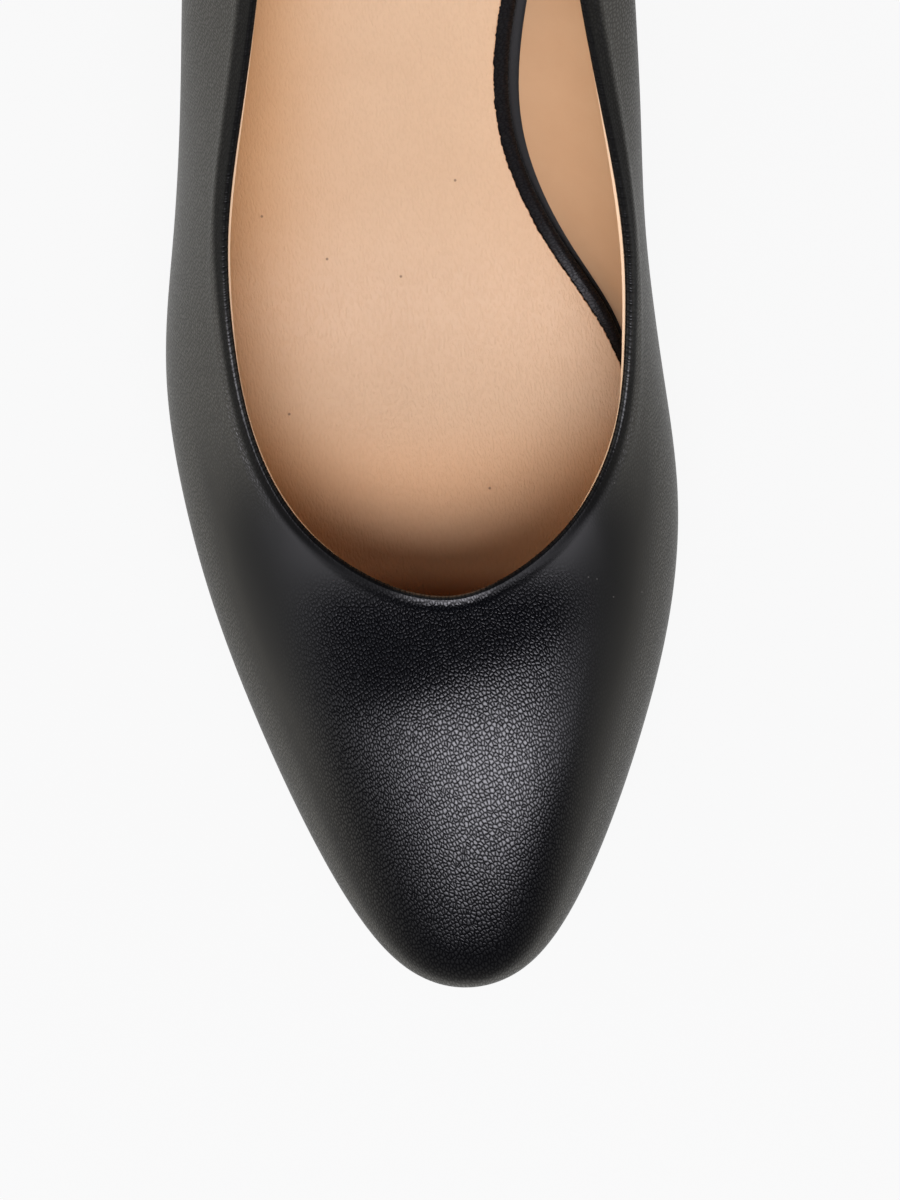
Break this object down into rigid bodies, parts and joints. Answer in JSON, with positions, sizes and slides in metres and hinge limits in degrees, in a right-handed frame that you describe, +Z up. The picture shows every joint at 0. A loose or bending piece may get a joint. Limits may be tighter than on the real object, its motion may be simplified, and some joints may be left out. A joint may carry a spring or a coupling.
{
  "type": "block heel pump",
  "caption": "Slip-on pump for the right foot: closed almond toe, low-cut black leather upper with a tan lining, thin sole with an arched shank, and a block heel.",
  "frame": {"origin": "on the floor, under the middle of the shoe's length and width", "axes": "+Y from toe to heel, +X to the inner (medial) side of the right foot, +Z up"},
  "size_m": [0.0838, 0.245, 0.1129],
  "materials": {
    "upper_leather": "fine pebble grain with a soft sheen",
    "insole_wrap": "fine pebble grain, semi-matt",
    "sock": "smooth matt lining leather",
    "sole": "matt",
    "heel_cover": "fine pebble grain with a soft sheen",
    "heel_lift": "matt"
  },
  "bodies": {
    "root": {"upper": "upper_leather", "insole": "insole_wrap", "sock_lining": "sock", "outsole": "sole", "heel": "heel_cover", "heel_top_piece": "heel_lift"}
  },
  "joints": []
}
